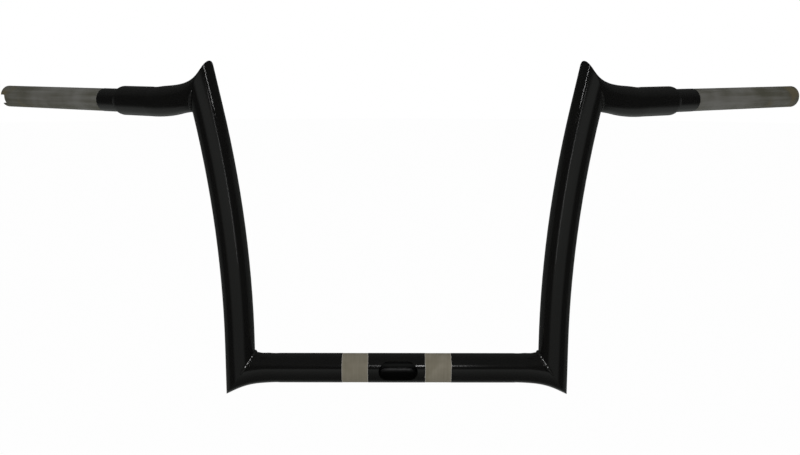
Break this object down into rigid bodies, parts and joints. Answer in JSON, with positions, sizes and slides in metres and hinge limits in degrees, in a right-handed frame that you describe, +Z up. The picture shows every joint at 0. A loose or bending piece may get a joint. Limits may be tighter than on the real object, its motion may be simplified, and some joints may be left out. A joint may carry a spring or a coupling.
{
  "type": "ape hanger handlebar",
  "caption": "Tall black motorcycle handlebar of bent, mitred steel tube with pointed corners, bare control ends, clamp bands and a wiring slot.",
  "frame": {"origin": "on the crossbar axis, midway between the two riser clamps", "axes": "+X along the crossbar to the clutch side, +Y back to the rider, +Z up along the uprights"},
  "size_m": [0.9753, 0.2075, 0.3607],
  "materials": {
    "black_coat": "gloss black powder coat",
    "control_steel": "dull bare steel tube"
  },
  "bodies": {
    "root": {"crossbar": "black_coat", "throttle_upright": "black_coat", "throttle_arm": "black_coat", "throttle_tube": "control_steel", "clutch_upright": "black_coat", "clutch_arm": "black_coat", "clutch_tube": "control_steel"}
  },
  "joints": []
}
